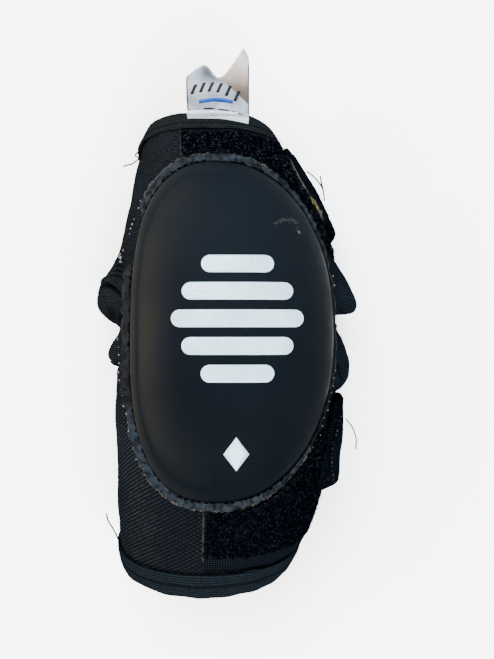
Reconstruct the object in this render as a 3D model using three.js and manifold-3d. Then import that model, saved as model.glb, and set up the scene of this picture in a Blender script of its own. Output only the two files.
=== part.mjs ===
// An elbow pad for ice hockey in a junior size, lying on its open side with the cap up.
// X runs across the arm, Y along it towards the hanging loop, and Z up through the cap.
// Lengths are in millimetres and angles in degrees. "along" is a share of the sleeve's length
// from the lower hem, and "turn" goes round it: 0 is the right side, 90 the front, -90 the back.

import * as THREE from "three";
import { mergeVertices } from "three/addons/utils/BufferGeometryUtils.js";
import Module from "manifold-3d";

const wasm = await Module();
wasm.setup();
const { clamp, degToRad, radToDeg, lerp, smoothstep } = THREE.MathUtils;

// The padded sleeve, bent at the elbow
const SLEEVE_LENGTH = 226;
const HALF_WIDTH = 58;
const HALF_DEPTH = 37;
const LOWER_TILT = 16;
const UPPER_TILT = 18;
const WALL = 7;
const EDGE_WALL = 3.6;
const EDGE_TAPER = 26;
const BACK_POWER = 2.8;
const CLEARANCE = 0.4;

// How far its own weight presses the cloth flat at each end, and what lies between the floor
// and the sleeve's outer face there
const REST_FLAT = 4.5;
const REST_STACK = 2.4;

// The folds that the bend pushes out of each side
const FOLD_MIDDLE_ANGLE = -12;
const FOLD_FRONT_ANGLE = 24;
const FOLD_BACK_ANGLE = 125;
const FOLD_INNER_SHARE = 0.35;

// The hems bound round both openings
const LOWER_HEM_WIDTH = 11;
const UPPER_HEM_WIDTH = 7;
const HEM_THICKNESS = 2;
const HEM_INNER_GAP = 0.6;

// The oval cap and the strip sewn round it
const CAP_PLACE_SHARE = 0.545;
const CAP_OFFSET = 3.3;
const CAP_HALF_WIDTH = 50.3;
const CAP_HALF_LENGTH = 84;
const CAP_POWER = 2.35;
const CAP_THICKNESS = 17;
const CAP_EDGE = 2;
const CAP_BOW = 8.3;
const CAP_UPRIGHT_SHARE = 0.9;
const WELT_LEFT_WIDTH = 5;
const WELT_RIGHT_WIDTH = 0.9;
const WELT_END_WIDTH = 4.8;
const WELT_THICKNESS = 1.4;

// The two patches of loop tape and the elastic straps that fasten on them
const PATCH_THICKNESS = 2;
const PATCH_GAP = 1.8;
const STRAP_THICKNESS = 2;
const STRAP_WIDTH = 42;
const FOREARM_STRAP_WIDTH = 44;
const STRAP_HEM_GAP = 6.4;
const STRAP_SEWN_ANGLE = -166;

// The woven hanging loop at the upper hem
const LOOP_WIDTH = 30;
const LOOP_HEIGHT = 34;
const LOOP_CLOTH = 0.9;
const LOOP_GAP = 14;
const LOOP_SEWN = 5;
const LOOP_CENTRE_X = 0;
const LOOP_TILT = -4;
const LOOP_INSET = 3;
const LOOP_LEVELLING_SHARE = 0.8;

// Cross-sections: half width and half depths as shares of HALF_WIDTH and HALF_DEPTH, how far
// the middle stands to the right as a share of HALF_WIDTH, and the power of the front's curve.
const SECTIONS = [
  { along: 0.0, width: 0.785, front: 1.0, back: 1.0, shift: -0.125, roundness: 2.1 },
  { along: 0.14, width: 0.895, front: 0.99, back: 0.98, shift: -0.035, roundness: 2.4 },
  { along: 0.26, width: 0.93, front: 0.97, back: 0.96, shift: 0.02, roundness: 2.8 },
  { along: 0.38, width: 0.985, front: 0.94, back: 0.94, shift: 0.05, roundness: 3.0 },
  { along: 0.56, width: 0.965, front: 0.92, back: 0.93, shift: 0.085, roundness: 3.0 },
  { along: 0.76, width: 0.915, front: 0.92, back: 0.93, shift: 0.04, roundness: 2.8 },
  { along: 0.86, width: 0.82, front: 0.92, back: 0.93, shift: 0.0, roundness: 2.4 },
  { along: 0.95, width: 0.695, front: 0.92, back: 0.92, shift: -0.07, roundness: 2.6 },
  { along: 1.0, width: 0.59, front: 0.92, back: 0.92, shift: -0.09, roundness: 3.1 },
];

// Folds: from and to are shares along the sleeve, peak a share of that span from its lower
// end, reach the height as a share of HALF_WIDTH, and droop how far the fold hangs down for
// each unit that it stands out.
const FOLDS = [
  { side: -1, from: 0.45, to: 0.556, peak: 0.55, reach: 0.2, droop: 0.3 },
  { side: -1, from: 0.56, to: 0.76, peak: 0.47, reach: 0.34, droop: 0.3 },
  { side: 1, from: 0.395, to: 0.58, peak: 0.44, reach: 0.21, droop: 0.4 },
  { side: 1, from: 0.6, to: 0.77, peak: 0.33, reach: 0.335, droop: 0.4 },
];

// Loop patches: shares along the sleeve between their edges, and the turns between their ends.
const PATCHES = {
  upper_loop_patch: { from: 0.745, to: 0.962, startAngle: 105, endAngle: -22 },
  lower_loop_patch: { from: 0.06, to: 0.33, startAngle: 91.5, endAngle: -22 },
};

// Straps: the edge nearer the lower hem at the back, as a share along the sleeve, how far the
// tip has crept towards the upper hem, the turn of the tip, and how far the strap stands off
// at its lower and upper edge and at its tip. The upper strap is sewn next to the upper hem.
const STRAPS = {
  upper_strap: {
    from: 1 - (UPPER_HEM_WIDTH + STRAP_HEM_GAP + STRAP_WIDTH) / SLEEVE_LENGTH,
    width: STRAP_WIDTH,
    creep: 0.025,
    tipAngle: 21,
    low: 4.2,
    high: 2.6,
    atTip: 0,
  },
  forearm_strap: {
    from: 0.202,
    width: FOREARM_STRAP_WIDTH,
    creep: 0,
    tipAngle: 28,
    low: 7,
    high: 1,
    atTip: 0,
  },
};

// The height of the loop's fold as a share of LOOP_HEIGHT, from the loop's left side to its right.
const LOOP_TOP = [
  { along: 0, height: 0.6 },
  { along: 0.3, height: 0.8 },
  { along: 0.55, height: 0.58 },
  { along: 0.92, height: 1.05 },
  { along: 1, height: 0.92 },
];

// Colour, roughness and metalness of each material
const FINISHES = {
  cover: { color: 0x26292b, roughness: 0.85 },
  binding: { color: 0x1f2224, roughness: 0.9 },
  leather: { color: 0x23272b, roughness: 0.5 },
  welt: { color: 0x33383d, roughness: 0.45 },
  pile: { color: 0x0d0d12, roughness: 1.0 },
  webbing: { color: 0x191c1e, roughness: 0.9 },
  label: { color: 0xd9dadb, roughness: 0.6 },
};

const AROUND = 48;
const RADIUS = SLEEVE_LENGTH / degToRad(LOWER_TILT + UPPER_TILT);
const FLOOR = floorHeight();

// The value of a table's column at a share along the sleeve, on a smooth curve through the rows.
function columnAt(table, column, along) {
  const last = table.length - 1;
  const place = clamp(along, table[0].along, table[last].along);
  let i = 0;
  while (i < last - 1 && place > table[i + 1].along) i += 1;
  const slope = (k) => {
    const before = table[Math.max(k - 1, 0)];
    const after = table[Math.min(k + 1, last)];
    return (after[column] - before[column]) / (after.along - before.along);
  };
  const span = table[i + 1].along - table[i].along;
  const t = (place - table[i].along) / span;
  const rise = table[i + 1][column] - table[i][column];
  const near = slope(i) * span - rise;
  const far = rise - slope(i + 1) * span;
  return table[i][column] + t * rise + t * (1 - t) * ((1 - t) * near + t * far);
}

// The size of the cross-section at a share along the sleeve.
function sectionAt(along) {
  return {
    width: HALF_WIDTH * columnAt(SECTIONS, "width", along),
    front: HALF_DEPTH * columnAt(SECTIONS, "front", along),
    back: HALF_DEPTH * columnAt(SECTIONS, "back", along),
    shift: HALF_WIDTH * columnAt(SECTIONS, "shift", along),
    roundness: columnAt(SECTIONS, "roundness", along),
  };
}

// The tilt of the arm's axis in radians: positive where it rises towards the upper hem.
function tiltAt(along) {
  return degToRad(LOWER_TILT - (LOWER_TILT + UPPER_TILT) * along);
}

// A point given by its place along the bent axis, across it, and out from it towards the front.
function onBend(along, across, out) {
  const tilt = tiltAt(along);
  return new THREE.Vector3(across, -(RADIUS + out) * Math.sin(tilt), (RADIUS + out) * Math.cos(tilt));
}

function signedPower(value, power) {
  return Math.sign(value) * Math.abs(value) ** power;
}

// How steeply a fold rises from its lower pinch (t = 0) and fades towards its upper end (t = 1).
function foldProfile(t, peak) {
  if (t <= 0 || t >= 1) return 0;
  return Math.sin(Math.PI * t ** (Math.log(0.5) / Math.log(peak))) ** 0.9;
}

// How far the folds push the cover out at a place on the sleeve, and how far they hang down.
function foldAt(along, turn) {
  let out = 0;
  let down = 0;
  for (const { side, from, to, peak, reach, droop } of FOLDS) {
    const mirrored = side > 0 ? turn : 180 - turn;
    const away = ((mirrored - FOLD_MIDDLE_ANGLE + 540) % 360) - 180;
    const span = away > 0 ? FOLD_FRONT_ANGLE : FOLD_BACK_ANGLE;
    if (Math.abs(away) < span) {
      const fade = Math.cos((away / span) * (Math.PI / 2)) ** 2;
      const height = HALF_WIDTH * reach * fade * foldProfile((along - from) / (to - from), peak);
      out += height;
      down += droop * height;
    }
  }
  return { out, down };
}

// A point on the sleeve's outer face, moved off it by offset. foldShare scales the folds.
function sleevePoint(along, turn, offset = 0, foldShare = 1) {
  const { width, front, back, shift, roundness } = sectionAt(along);
  const angle = degToRad(turn);
  const isFront = Math.sin(angle) >= 0;
  const power = isFront ? roundness : BACK_POWER;
  const depth = isFront ? front : back;
  const x = signedPower(Math.cos(angle), 2 / power);
  const h = signedPower(Math.sin(angle), 2 / power);
  const nx = signedPower(x, power - 1) / width;
  const nh = signedPower(h, power - 1) / depth;
  const length = Math.hypot(nx, nh);
  const fold = foldAt(along, turn);
  const out = offset + foldShare * fold.out;
  const lowered = along - (foldShare * fold.down) / SLEEVE_LENGTH;
  const point = onBend(lowered, shift + width * x + (out * nx) / length, depth * h + (out * nh) / length);
  point.z = Math.max(point.z, FLOOR + Math.max(REST_STACK - offset, 0));
  return point;
}

// The height of the surface that both ends of the sleeve are pressed flat on.
function floorHeight() {
  const lowest = [0, 1].map((end) => onBend(end, 0, -sectionAt(end).back - REST_STACK).z);
  return Math.max(...lowest) + REST_FLAT;
}

// The point of the front face above a place on the floor, and the face's normal there.
function frontPoint(x, y) {
  let out = HALF_DEPTH;
  let tilt = 0;
  for (let i = 0; i < 8; i += 1) {
    tilt = Math.asin(-y / (RADIUS + out));
    const along = (LOWER_TILT - radToDeg(tilt)) / (LOWER_TILT + UPPER_TILT);
    const { width, front, shift, roundness } = sectionAt(along);
    const across = Math.min(Math.abs((x - shift) / width), 1);
    out = front * (1 - across ** roundness) ** (1 / roundness);
  }
  return new THREE.Vector3(x, y, (RADIUS + out) * Math.cos(tilt));
}

function frontNormal(x, y) {
  const step = 0.25;
  const across = frontPoint(x + step, y).sub(frontPoint(x - step, y));
  const forward = frontPoint(x, y + step).sub(frontPoint(x, y - step));
  return across.cross(forward).normalize();
}

function onFront(x, y, offset) {
  return frontPoint(x, y).addScaledVector(frontNormal(x, y), offset);
}

// Evenly spaced numbers from start to end, both included.
function spread(start, end, count) {
  return Array.from({ length: count }, (_, i) => lerp(start, end, i / (count - 1)));
}

// Grows a list of triangles, and leaves out those that have shrunk to a line.
class Skin {
  constructor() {
    this.corners = [];
  }

  triangle(a, b, c) {
    const tiny = 1e-9;
    const sides = [a.distanceToSquared(b), b.distanceToSquared(c), c.distanceToSquared(a)];
    if (Math.min(...sides) > tiny) this.corners.push(a, b, c);
  }

  quad(a, b, c, d) {
    this.triangle(a, b, c);
    this.triangle(a, c, d);
  }

  // Joins each row of points to the next.
  grid(rows, ringRows, ringColumns) {
    const rowCount = ringRows ? rows.length : rows.length - 1;
    const columnCount = ringColumns ? rows[0].length : rows[0].length - 1;
    for (let i = 0; i < rowCount; i += 1) {
      const row = rows[i];
      const next = rows[(i + 1) % rows.length];
      for (let j = 0; j < columnCount; j += 1) {
        const k = (j + 1) % row.length;
        this.quad(row[j], row[k], next[k], next[j]);
      }
    }
  }

  // One closed geometry with its faces pointing out.
  geometry() {
    let volume = 0;
    for (let i = 0; i < this.corners.length; i += 3) {
      const [a, b, c] = this.corners.slice(i, i + 3);
      volume += a.dot(b.clone().cross(c));
    }
    if (volume < 0) this.corners.reverse();
    return new THREE.BufferGeometry().setFromPoints(this.corners);
  }
}

// A solid between an outer and an inner grid. A ring's columns close on themselves.
function shell(outer, inner, isRing) {
  const skin = new Skin();
  const lastRow = (grid) => grid[grid.length - 1];
  skin.grid(outer, false, isRing);
  skin.grid(inner.map((row) => [...row].reverse()), false, isRing);
  skin.grid([inner[0], outer[0]], false, isRing);
  skin.grid([lastRow(outer), lastRow(inner)], false, isRing);
  if (!isRing) {
    const column = (grid, at) => grid.map((row) => row.at(at));
    skin.grid([column(outer, 0), column(inner, 0)], false, false);
    skin.grid([column(inner, -1), column(outer, -1)], false, false);
  }
  return skin.geometry();
}

function toSolid(geometry) {
  const bare = geometry.clone();
  bare.deleteAttribute("normal");
  bare.deleteAttribute("uv");
  const merged = mergeVertices(bare, 1e-4);
  return new wasm.Manifold(
    new wasm.Mesh({
      numProp: 3,
      vertProperties: merged.attributes.position.array,
      triVerts: new Uint32Array(merged.index.array),
    }),
  );
}

function toGeometry(solid) {
  const mesh = solid.getMesh();
  const geometry = new THREE.BufferGeometry();
  geometry.setAttribute("position", new THREE.BufferAttribute(mesh.vertProperties, 3));
  geometry.setIndex(new THREE.BufferAttribute(mesh.triVerts, 1));
  return geometry;
}

function turnsAround() {
  return spread(-180, 180, AROUND + 1).slice(0, AROUND);
}

function wallAt(along) {
  const hemWidth = along < 0.5 ? LOWER_HEM_WIDTH : UPPER_HEM_WIDTH;
  const toEdge = Math.min(along, 1 - along) * SLEEVE_LENGTH;
  return lerp(EDGE_WALL, WALL, smoothstep(toEdge, hemWidth, hemWidth + EDGE_TAPER));
}

// The padded tube, with rows close together where it folds.
function sleeve() {
  const lowerHem = LOWER_HEM_WIDTH / SLEEVE_LENGTH;
  const upperHem = 1 - UPPER_HEM_WIDTH / SLEEVE_LENGTH;
  const lowest = Math.min(...FOLDS.map((fold) => fold.from));
  const highest = Math.max(...FOLDS.map((fold) => fold.to));
  const coarse = 0.05;
  const fine = 0.0175;
  const stretch = (start, end, step) => spread(start, end, Math.ceil((end - start) / step) + 1);
  const places = [
    0,
    ...stretch(lowerHem, lowest, coarse),
    ...stretch(lowest, highest, fine).slice(1),
    ...stretch(highest, upperHem, coarse).slice(1),
    1,
  ];
  const outer = places.map((along) => turnsAround().map((turn) => sleevePoint(along, turn)));
  const inner = [0, ...spread(lowerHem, upperHem, 11), 1].map((along) =>
    turnsAround().map((turn) => sleevePoint(along, turn, -wallAt(along), FOLD_INNER_SHARE)),
  );
  return shell(outer, inner, true);
}

// A binding folded over one end of the sleeve. end is 0 at the lower opening and 1 at the upper.
function hem(end) {
  const sleeveEdge = end * SLEEVE_LENGTH;
  const width = end === 0 ? LOWER_HEM_WIDTH : UPPER_HEM_WIDTH;
  const outwards = end === 0 ? -1 : 1;
  const outerFace = CLEARANCE + HEM_THICKNESS;
  const innerGap = EDGE_WALL + HEM_INNER_GAP;
  const innerFace = -innerGap - HEM_THICKNESS;
  const nose = [40, -40].map((angle) => ({
    beyond: outerFace * Math.cos(degToRad(angle)),
    offset: lerp(innerFace, outerFace, 0.5 + 0.5 * Math.sin(degToRad(angle))),
  }));
  const profile = [
    { beyond: -width, offset: CLEARANCE },
    { beyond: -width, offset: outerFace },
    { beyond: -HEM_THICKNESS, offset: outerFace },
    ...nose,
    { beyond: -HEM_THICKNESS, offset: innerFace },
    { beyond: -width, offset: innerFace },
    { beyond: -width, offset: -innerGap },
    { beyond: CLEARANCE, offset: -innerGap },
    { beyond: CLEARANCE, offset: CLEARANCE },
  ];
  // The upper hem runs the other way round, so that its facets match the sleeve's.
  const turns = end === 0 ? turnsAround() : turnsAround().reverse();
  const rows = profile.map(({ beyond, offset }) => {
    const along = (sleeveEdge + outwards * beyond) / SLEEVE_LENGTH;
    return turns.map((turn) => sleevePoint(along, turn, offset));
  });
  const skin = new Skin();
  skin.grid(rows, true, true);
  return skin.geometry();
}

// The middle of the cap over the floor.
function capCentre() {
  return onBend(CAP_PLACE_SHARE, sectionAt(CAP_PLACE_SHARE).shift + CAP_OFFSET, HALF_DEPTH);
}

// A place on the cap's oval, grown by the widths given at its left, its right and its ends. share
// is 0 at the centre and 1 on the outline, and the ends of the oval stand to the left.
function onOval(angle, share, left = 0, right = 0, ends = 0) {
  const centre = capCentre();
  const across = signedPower(Math.cos(angle), 2 / CAP_POWER) * share;
  const forward = signedPower(Math.sin(angle), 2 / CAP_POWER) * share;
  const sides = across < 0 ? left : right;
  const x = centre.x + across * (CAP_HALF_WIDTH + sides) - CAP_BOW * forward * forward;
  return { x, y: centre.y + forward * (CAP_HALF_LENGTH + ends) };
}

function ovalAngles(count) {
  return spread(0, 2 * Math.PI, count + 1).slice(0, count);
}

// The cap's thickness, full in the middle and rolled over at its edge.
function capThickness(share) {
  return CAP_EDGE + (CAP_THICKNESS - CAP_EDGE) * (1 - share ** 3) ** 0.45;
}

// A point of the cap's outer face. It stands up more steeply than the sleeve's face under it.
function onCap(angle, share) {
  const { x, y } = onOval(angle, share);
  const up = new THREE.Vector3(0, 0, 1);
  const outwards = frontNormal(x, y).lerp(up, CAP_UPRIGHT_SHARE).normalize();
  return onFront(x, y, CLEARANCE).addScaledVector(outwards, capThickness(share));
}

function elbowCap() {
  const angles = ovalAngles(44);
  const under = (angle, share) => {
    const { x, y } = onOval(angle, share);
    return onFront(x, y, CLEARANCE);
  };
  const face = (shares, point) => shares.map((share) => angles.map((angle) => point(angle, share)));
  const outer = face([0, 0.3, 0.55, 0.72, 0.84, 0.92, 0.97, 0.993, 1], onCap);
  const inner = face([0, 0.3, 0.55, 0.72, 0.84, 0.92, 0.97, 1], under);
  return shell(outer, inner, true);
}

// The strip sewn flat on the sleeve round the cap.
function capWelt() {
  const angles = ovalAngles(56);
  const face = (offset) =>
    [0, 0.5, 1].map((share) =>
      angles.map((angle) => {
        const widths = [WELT_LEFT_WIDTH, WELT_RIGHT_WIDTH, WELT_END_WIDTH];
        const { x, y } = onOval(angle, 1, ...widths.map((width) => lerp(CLEARANCE, width, share)));
        return onFront(x, y, offset);
      }),
    );
  return shell(face(CLEARANCE + WELT_THICKNESS), face(CLEARANCE), true);
}

// The room that the cap and its welt take out of what is sewn round them.
function capRoom() {
  const outline = new THREE.Shape(
    ovalAngles(56).map((angle) => {
      const widths = [WELT_LEFT_WIDTH, WELT_RIGHT_WIDTH, WELT_END_WIDTH];
      const { x, y } = onOval(angle, 1, ...widths.map((width) => width + PATCH_GAP));
      return new THREE.Vector2(x, y);
    }),
  );
  const room = new THREE.ExtrudeGeometry(outline, { depth: 2 * HALF_DEPTH, bevelEnabled: false });
  return room.translate(0, 0, RADIUS * Math.cos(degToRad(UPPER_TILT)));
}

// A sheet of loop tape on the sleeve, cut out round the cap.
function loopPatch({ from, to, startAngle, endAngle }) {
  const face = (offset) =>
    spread(from, to, 7).map((along) =>
      spread(startAngle, endAngle, 22).map((turn) => sleevePoint(along, turn, offset)),
    );
  const sheet = shell(face(CLEARANCE + PATCH_THICKNESS), face(CLEARANCE), false);
  return toGeometry(toSolid(sheet).subtract(toSolid(capRoom())));
}

// An elastic strap from its seam at the back of the left side, behind the sleeve and round its
// right side, to its tip on the loop patch.
function strap({ from, width, creep, tipAngle, low, high, atTip }) {
  const overPatch = 2 * CLEARANCE + PATCH_THICKNESS;
  const face = (offset) =>
    spread(0, 1, 5).map((across) =>
      spread(STRAP_SEWN_ANGLE, tipAngle, 34).map((turn) => {
        const towardsTip = smoothstep(turn, -90, tipAngle);
        const along = from + creep * towardsTip + (across * width) / SLEEVE_LENGTH;
        const seat = lerp(CLEARANCE, overPatch, smoothstep(turn, -75, -35));
        const leaves = smoothstep(turn, -95, -10);
        const returns = 1 - smoothstep(turn, 2, tipAngle) * (1 - atTip);
        return sleevePoint(along, turn, seat + offset + lerp(low, high, across) * leaves * returns);
      }),
    );
  return shell(face(STRAP_THICKNESS), face(0), false);
}

// The folded label: both layers sewn to the upper hem, open between the seam and the fold,
// and pulled up on both sides of the fold.
function hangingLoop() {
  const tilt = degToRad(LOOP_TILT);
  const forward = new THREE.Vector3(0, Math.cos(tilt), Math.sin(tilt));
  const up = new THREE.Vector3(0, -Math.sin(tilt), Math.cos(tilt));
  const seat = CLEARANCE + HEM_THICKNESS + CLEARANCE;
  const baseAt = (x) => onFront(x, onBend(1, 0, HALF_DEPTH).y - LOOP_INSET, seat + LOOP_CLOTH);
  const steps = spread(0, 1, 9);
  // The outline of one cut through the loop: inset is 0 on its outer face.
  const outline = (share, inset) => {
    const base = baseAt(LOOP_CENTRE_X + LOOP_WIDTH * (share - 0.5));
    const arch = baseAt(LOOP_CENTRE_X).z - base.z;
    const top = LOOP_HEIGHT * columnAt(LOOP_TOP, "height", share);
    const start = inset > 0 ? LOOP_SEWN : 0;
    const point = (t, side) => {
      const reach = lerp(start, top - inset, t);
      const open = clamp((reach - LOOP_SEWN) / (top - LOOP_SEWN), 0, 1);
      const swell = (LOOP_GAP / 2) * Math.sin(Math.PI * open) ** 0.6;
      const isFold = t === 1 || (inset > 0 && t === 0);
      const height = isFold ? 0 : side * (swell + LOOP_CLOTH - inset);
      const level = LOOP_LEVELLING_SHARE * arch * Math.sin((open * Math.PI) / 2);
      return base.clone().addScaledVector(forward, reach).addScaledVector(up, height + level);
    };
    const front = steps.map((t) => point(t, 1));
    const back = steps.slice(0, -1).map((t) => point(t, -1));
    return [...front, ...back.reverse()];
  };
  const face = (inset) => spread(0, 1, 13).map((share) => outline(share, inset));
  return shell(face(0), face(LOOP_CLOTH), true);
}

function piece(name, geometry, finish) {
  const mesh = new THREE.Mesh(geometry, new THREE.MeshStandardMaterial({ metalness: 0, ...finish }));
  mesh.name = name;
  return mesh;
}

const elbowPad = new THREE.Group();
elbowPad.add(
  piece("sleeve", sleeve(), FINISHES.cover),
  piece("lower_hem", hem(0), FINISHES.binding),
  piece("upper_hem", hem(1), FINISHES.binding),
  piece("elbow_cap", elbowCap(), FINISHES.leather),
  piece("cap_welt", capWelt(), FINISHES.welt),
);
for (const [name, patch] of Object.entries(PATCHES)) {
  elbowPad.add(piece(name, loopPatch(patch), FINISHES.pile));
}
for (const [name, band] of Object.entries(STRAPS)) {
  elbowPad.add(piece(name, strap(band), FINISHES.webbing));
}
elbowPad.add(piece("hanging_loop", hangingLoop(), FINISHES.label));

// The origin is under the middle of the pad, on the surface that it rests on.
const extent = new THREE.Box3().setFromObject(elbowPad);
const middle = extent.getCenter(new THREE.Vector3());
elbowPad.position.set(-middle.x, -middle.y, -extent.min.z);

export default elbowPad;
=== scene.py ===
# Looks for the elbow pad: weave, pile, stitches, frayed ends and soft studio light on the CAD parts.
# Points and lengths are in millimetres, in the row's frame: x across the arm and y along it towards
# the hanging loop. "along" is the distance along the bent sleeve from its lower hem, and "around"
# is the distance round it from its right side.

import math
import random

import bmesh
import bpy
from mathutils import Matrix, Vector, kdtree, noise
from mathutils.bvhtree import BVHTree


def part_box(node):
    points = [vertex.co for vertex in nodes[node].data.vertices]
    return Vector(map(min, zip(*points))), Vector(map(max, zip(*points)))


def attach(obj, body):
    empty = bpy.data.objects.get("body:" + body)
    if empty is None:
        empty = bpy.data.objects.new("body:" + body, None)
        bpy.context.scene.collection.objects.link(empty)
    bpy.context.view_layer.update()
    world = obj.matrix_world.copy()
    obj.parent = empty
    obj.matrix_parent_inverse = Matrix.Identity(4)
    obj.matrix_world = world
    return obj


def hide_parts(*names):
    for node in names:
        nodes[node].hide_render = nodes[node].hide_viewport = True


MM = 0.001

# The bend that the sleeve follows: its centre, its radius, and its tilt at the lower hem
BEND_X = -4.0
BEND_Y = -22.8
BEND_Z = -332.7
BEND_RADIUS = 380.85
LOWER_TILT = 16.0
ROUND_RADIUS = 47.0

# The camera over the pad
CAMERA_PLACE = (11.2, -4.3, 427.0)
CAMERA_LENS = 38.79

# The cover's cloth: slanted ribs, ribs that cross them between two places round the sleeve, and
# level ribs that take over between two places along it
RIB_ANGLE = -33
RIB_PITCH = 1.65
CROSS_ANGLE = 37
CROSS_PITCH = 1.7
CROSSED_AROUND = (120, 84)
LEVEL_ALONG = (78, 96)
LEVEL_PITCH = 1.15
RIB_WANDER = 0.12

# The cap's oval: how far its ends stand to the left, and the power of its curve
CAP_BOW = 8.3
CAP_POWER = 2.35

# The cap's rim: a ridge and a valley inside it, each at a share of the way out, and how much of
# them its right side has
RIDGE_SHARE = 0.97
RIDGE_HEIGHT = 0.5
RIDGE_WIDTH = 0.022
VALLEY_SHARE = 0.93
VALLEY_DEPTH = 0.9
VALLEY_INWARDS = 0.05
VALLEY_OUTWARDS = 0.016
RIM_ON_RIGHT = 0.12

# The welt: its widths, its stitches, its puckers, and where at the upper left it is tucked under
WELT_LEFT = 5.0
WELT_RIGHT = 0.9
WELT_ENDS = 4.8
STITCH_SHARE = 0.16
STITCH_PITCH = 3.3
STITCH_LENGTH = 2.3
WELT_RADIUS = 68
PUCKER_PITCH = 8.5
PUCKER_HEIGHT = 0.32
TUCK_Y = 43
TUCK_REACH = 16
TUCK_WIDTH = 4.2

# Where the welt is dull and darkened by painted shade at its sides: how far along them, and on each side
# the middle and the fade
SHADE_REACH = 58
SHADE_LEFT = (6, 12)
SHADE_RIGHT = (-8, 8)

# How far from the cap's middle the welt's outer edge is frayed
FRAYED_BEYOND_Y = 62

# Where one cloth fold overlaps another: a groove with a roll of cloth over it. Each line runs from
# left to right, depth is that of the groove, and roll is how high the cloth over it rises.
CREASES = [
    {"line": [(-70, 18.5), (-66, 20.5), (-62, 19.5), (-57.5, 16.5), (-54, 13.5)],
     "depth": 4.5, "width": 1.2, "roll": 1.8},
    {"line": [(-64.5, 8.5), (-63, 6), (-62.5, 4)], "depth": 3.0, "width": 1.5, "roll": 0.3},
    {"line": [(-58, 0.8), (-54, 2), (-50, 4)], "depth": 3.0, "width": 1.2, "roll": 1.5},
    {"line": [(-58, -3), (-55, -0.8), (-51, -0.6)], "depth": 2.0, "width": 0.9, "roll": 1.0},
    {"line": [(-64, -28), (-60, -24.5), (-55, -21.5)], "depth": 2.5, "width": 1.1, "roll": 0.8},
    {"line": [(54, -16.5), (58.5, -21.5), (61.5, -28.5), (62, -34)],
     "depth": 4.0, "width": 1.2, "roll": 1.5},
    {"line": [(54, 2.5), (57.5, 4.5), (60, 5)], "depth": 2.5, "width": 1.0, "roll": 0.6},
    {"line": [(-62.5, 24.6), (-58, 24.4), (-53, 22.6)], "depth": 1.4, "width": 0.7, "roll": 0.5},
    {"line": [(-61, 27.2), (-57, 27.1), (-53, 25.4)], "depth": 1.4, "width": 0.7, "roll": 0.5},
    {"line": [(-60, 29.8), (-56, 29.8), (-52, 28)], "depth": 1.2, "width": 0.7, "roll": 0.5},
    {"line": [(-59, 32.6), (-55, 32.4), (-51.5, 31)], "depth": 1.0, "width": 0.7, "roll": 0.4},
]

# The pockets of the two upper folds, with ribs in rings round them: radius is how far the rings
# reach, top is where they end towards the hanging loop, and dark is the shade in the pocket
POCKETS = [
    {"middle": (-61, 4), "radius": 13, "top": 17, "dark": 0.95},
    {"middle": (64, 11.5), "radius": 13, "top": 26, "dark": 0.0},
]
RING_PITCH = 1.5
RING_EDGE = 3
POCKET_SHADE_RADIUS = 3.6
POCKETS_ABOVE_Z = 12

# The part of the sleeve whose mesh is split finer: the folds, beyond x, between y and above z
FOLDS_BEYOND_X = 47
FOLDS_FROM_Y = -50
FOLDS_TO_Y = 45
FOLDS_ABOVE_Z = 25

# Needle holes that show pale along the welt
NEEDLE_HOLES = [
    {"pitch": 2.9, "size": 0.7,
     "line": [(-43.5, 61), (-46, 54), (-48.5, 47), (-50.5, 41), (-52.5, 36.5)]},
    {"pitch": 4.2, "size": 0.6,
     "line": [(-56, -9), (-54.5, -16), (-54, -26), (-52, -34), (-50, -43), (-47, -56)]},
    {"pitch": 4.4, "size": 0.4, "line": [(-43.5, -69), (-41, -74), (-37, -79), (-32, -84)]},
    {"pitch": 5.0, "size": 0.65, "line": [(56.5, 24), (58, 16.5), (58, 12)]},
    {"pitch": 4.0, "size": 0.6,
     "line": [(57, -25.5), (55.5, -34), (53, -42), (50, -50), (45.5, -61), (43, -67)]},
]

# The loose threads: points from root to end, and their radius
THREAD_RADIUS = 0.42
STRAY_THREADS = {
    "thread_left_top": [(-43, 88, 53), (-46, 86.5, 50), (-50, 84.5, 47), (-53.7, 84, 45), (-55.5, 83, 45)],
    "thread_left_knot": [(-46, 86.5, 50), (-48, 88, 50), (-47, 89.5, 50), (-45.5, 89, 51), (-46, 87, 51)],
    "thread_right_top": [(43.5, 81, 44), (47, 78, 45), (50, 74.5, 45), (52, 71, 45), (53, 65, 44)],
    "thread_right_side": [(51, 79, 42), (51.4, 75, 43), (52.4, 71, 44)],
    "thread_right_low": [(65, -53, 42), (68, -57, 44), (70, -63, 44), (70, -69, 43)],
    "thread_left_low": [(-58, -119, 42), (-61, -113, 42), (-64, -108, 42), (-65, -104, 42)],
}

# What the cloth pieces were cut to, in metres: width, length, and the area of a cut that is no
# rectangle
PATCH_CUTS = {"upper_loop_patch": (0.052, 0.085, 0.0035), "lower_loop_patch": (0.076, 0.08, 0.0051)}

# The loops of the pile: half their width, their height, and how thick their yarn is
LOOP_HALF_WIDTH = (0.35, 0.7)
LOOP_HEIGHT = (0.7, 1.5)
LOOP_RADIUS = 0.15

# The upper strap's frayed end and the forearm strap's sewn line, over the floor
STRAP_END = [(32.5, 87.5), (34.5, 81), (37.2, 75), (39.8, 70), (43.2, 65.8)]
STRAP_END += [(45.4, 63), (48, 58.5), (50.5, 53)]
STRAP_SEAM = [(60.8, -42), (59.5, -48.5), (56.8, -57), (54.8, -64.5), (54.6, -73), (56.5, -84.5)]

# The label: the slanted lip of its front layer, its foot's left end, size and top, and its print
LIP_SLOPE = 0.71
LIP_AT = (118.2, 119.2)
FOOT_LEFT = -19.2
FOOT_WIDTH = 31
FOOT_TOP = 107.2
FOOT_HEIGHT = 4.2
STROKES_FROM = (-16.5, 113.6)
STROKE_PITCH = 4.3
STRIPE_FROM = (-13, 110.6)
STRIPE_LENGTH = 17

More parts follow.
